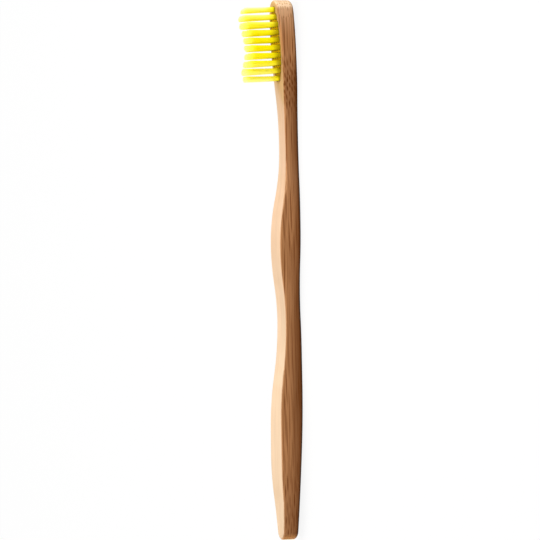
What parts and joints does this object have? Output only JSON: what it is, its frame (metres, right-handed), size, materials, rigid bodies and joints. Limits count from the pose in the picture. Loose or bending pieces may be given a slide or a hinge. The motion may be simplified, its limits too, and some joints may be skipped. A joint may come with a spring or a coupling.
{
  "type": "manual toothbrush",
  "caption": "Manual toothbrush with a one-piece bamboo handle, waisted and S-shaped in side view, and rows of yellow nylon tufts held in the head by flat anchors.",
  "frame": {"origin": "on the resting plane, under the middle of the brush's length and width", "axes": "+X along the brush towards the head, +Z from the back to the bristle tips, +Y across the brush"},
  "size_m": [0.19, 0.0122, 0.0202],
  "materials": {
    "bamboo": "milled, sanded and waxed",
    "bristle_nylon": "drawn filament with trimmed and rounded tips",
    "anchor_metal": "cut from flat wire"
  },
  "bodies": {
    "root": {"handle": "bamboo", "tuft_anchors": "anchor_metal", "tuft_r01_c1": "bristle_nylon", "tuft_r01_c2": "bristle_nylon", "tuft_r02_c1": "bristle_nylon", "tuft_r02_c2": "bristle_nylon", "tuft_r02_c3": "bristle_nylon", "tuft_r03_c1": "bristle_nylon", "tuft_r03_c2": "bristle_nylon", "tuft_r03_c3": "bristle_nylon", "tuft_r03_c4": "bristle_nylon", "tuft_r04_c1": "bristle_nylon", "tuft_r04_c2": "bristle_nylon", "tuft_r04_c3": "bristle_nylon", "tuft_r04_c4": "bristle_nylon", "tuft_r05_c1": "bristle_nylon", "tuft_r05_c2": "bristle_nylon", "tuft_r05_c3": "bristle_nylon", "tuft_r05_c4": "bristle_nylon", "tuft_r06_c1": "bristle_nylon", "tuft_r06_c2": "bristle_nylon", "tuft_r06_c3": "bristle_nylon", "tuft_r06_c4": "bristle_nylon", "tuft_r07_c1": "bristle_nylon", "tuft_r07_c2": "bristle_nylon", "tuft_r07_c3": "bristle_nylon", "tuft_r07_c4": "bristle_nylon", "tuft_r08_c1": "bristle_nylon", "tuft_r08_c2": "bristle_nylon", "tuft_r08_c3": "bristle_nylon", "tuft_r08_c4": "bristle_nylon", "tuft_r09_c1": "bristle_nylon", "tuft_r09_c2": "bristle_nylon", "tuft_r09_c3": "bristle_nylon", "tuft_r10_c1": "bristle_nylon", "tuft_r10_c2": "bristle_nylon"}
  },
  "joints": []
}
